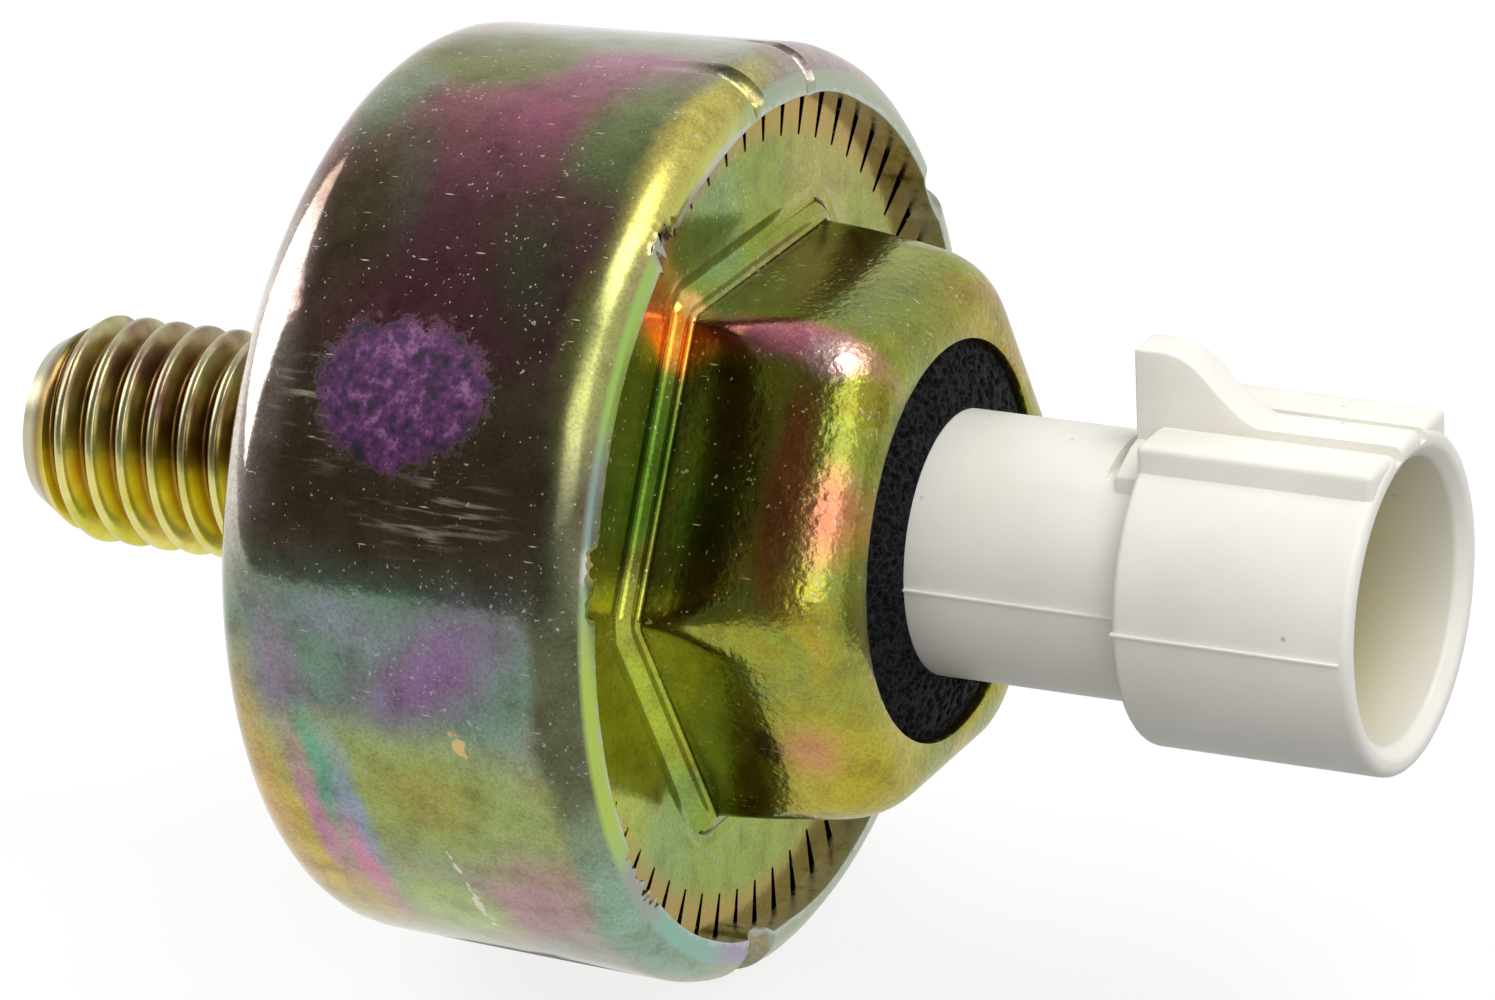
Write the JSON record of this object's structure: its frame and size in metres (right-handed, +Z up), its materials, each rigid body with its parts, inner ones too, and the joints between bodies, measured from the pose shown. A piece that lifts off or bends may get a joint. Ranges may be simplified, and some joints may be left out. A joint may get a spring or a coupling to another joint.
{
  "type": "engine knock sensor",
  "caption": "Engine knock sensor: threaded stud, crimped plated cup, hexagon cover and a plug connector in white moulding.",
  "frame": {"origin": "centre of the seating face that meets the engine block, where the stud's thread starts", "axes": "+X along the sensor's axis from the stud to the connector's mouth, +Z towards the latch fin on the connector, +Y to the left when looking along +X with +Z up"},
  "size_m": [0.0629, 0.0398, 0.04],
  "materials": {
    "plated_cup": "deep-drawn steel, zinc plated with yellow iridescent chromate, worn",
    "plated_cover": "drawn steel, zinc plated with yellow-green chromate, glossy",
    "plated_stud": "rolled thread, zinc plated with golden chromate",
    "plain_steel": "turned, uncoated",
    "spring_steel": "rolled sheet",
    "piezo_ceramic": "silvered faces",
    "spacer_plastic": "moulded, matt",
    "tinned_brass": "tinned sheet",
    "white_moulding": "semi-matt white moulding, a little yellowed",
    "seal_rubber": "matt",
    "gasket_fibre": "pressed fibre",
    "potting_resin": "cast epoxy",
    "black_foam": "open-cell foam",
    "terminal_brass": "tin plated, worn",
    "spring_bronze": "rolled strip",
    "resistor_coat": "dipped lacquer",
    "tinned_wire": "tinned copper",
    "solder": "smooth, dull"
  },
  "bodies": {
    "root": {"stud": "plated_stud", "body_shell": "plated_cup", "support_ring": "plain_steel", "vibration_plate": "spring_steel", "piezo_disc": "piezo_ceramic", "spacer_ring": "spacer_plastic", "ground_tag": "tinned_brass", "connector_body": "white_moulding", "base_o_ring": "seal_rubber", "cover_gasket": "gasket_fibre", "terminal_potting": "potting_resin", "hex_cover": "plated_cover", "foam_ring": "black_foam", "terminal": "terminal_brass", "contact_spring": "spring_bronze", "resistor_body": "resistor_coat", "resistor_lead_terminal": "tinned_wire", "resistor_lead_ground": "tinned_wire", "solder_ground": "solder", "solder_terminal": "solder"}
  },
  "joints": []
}
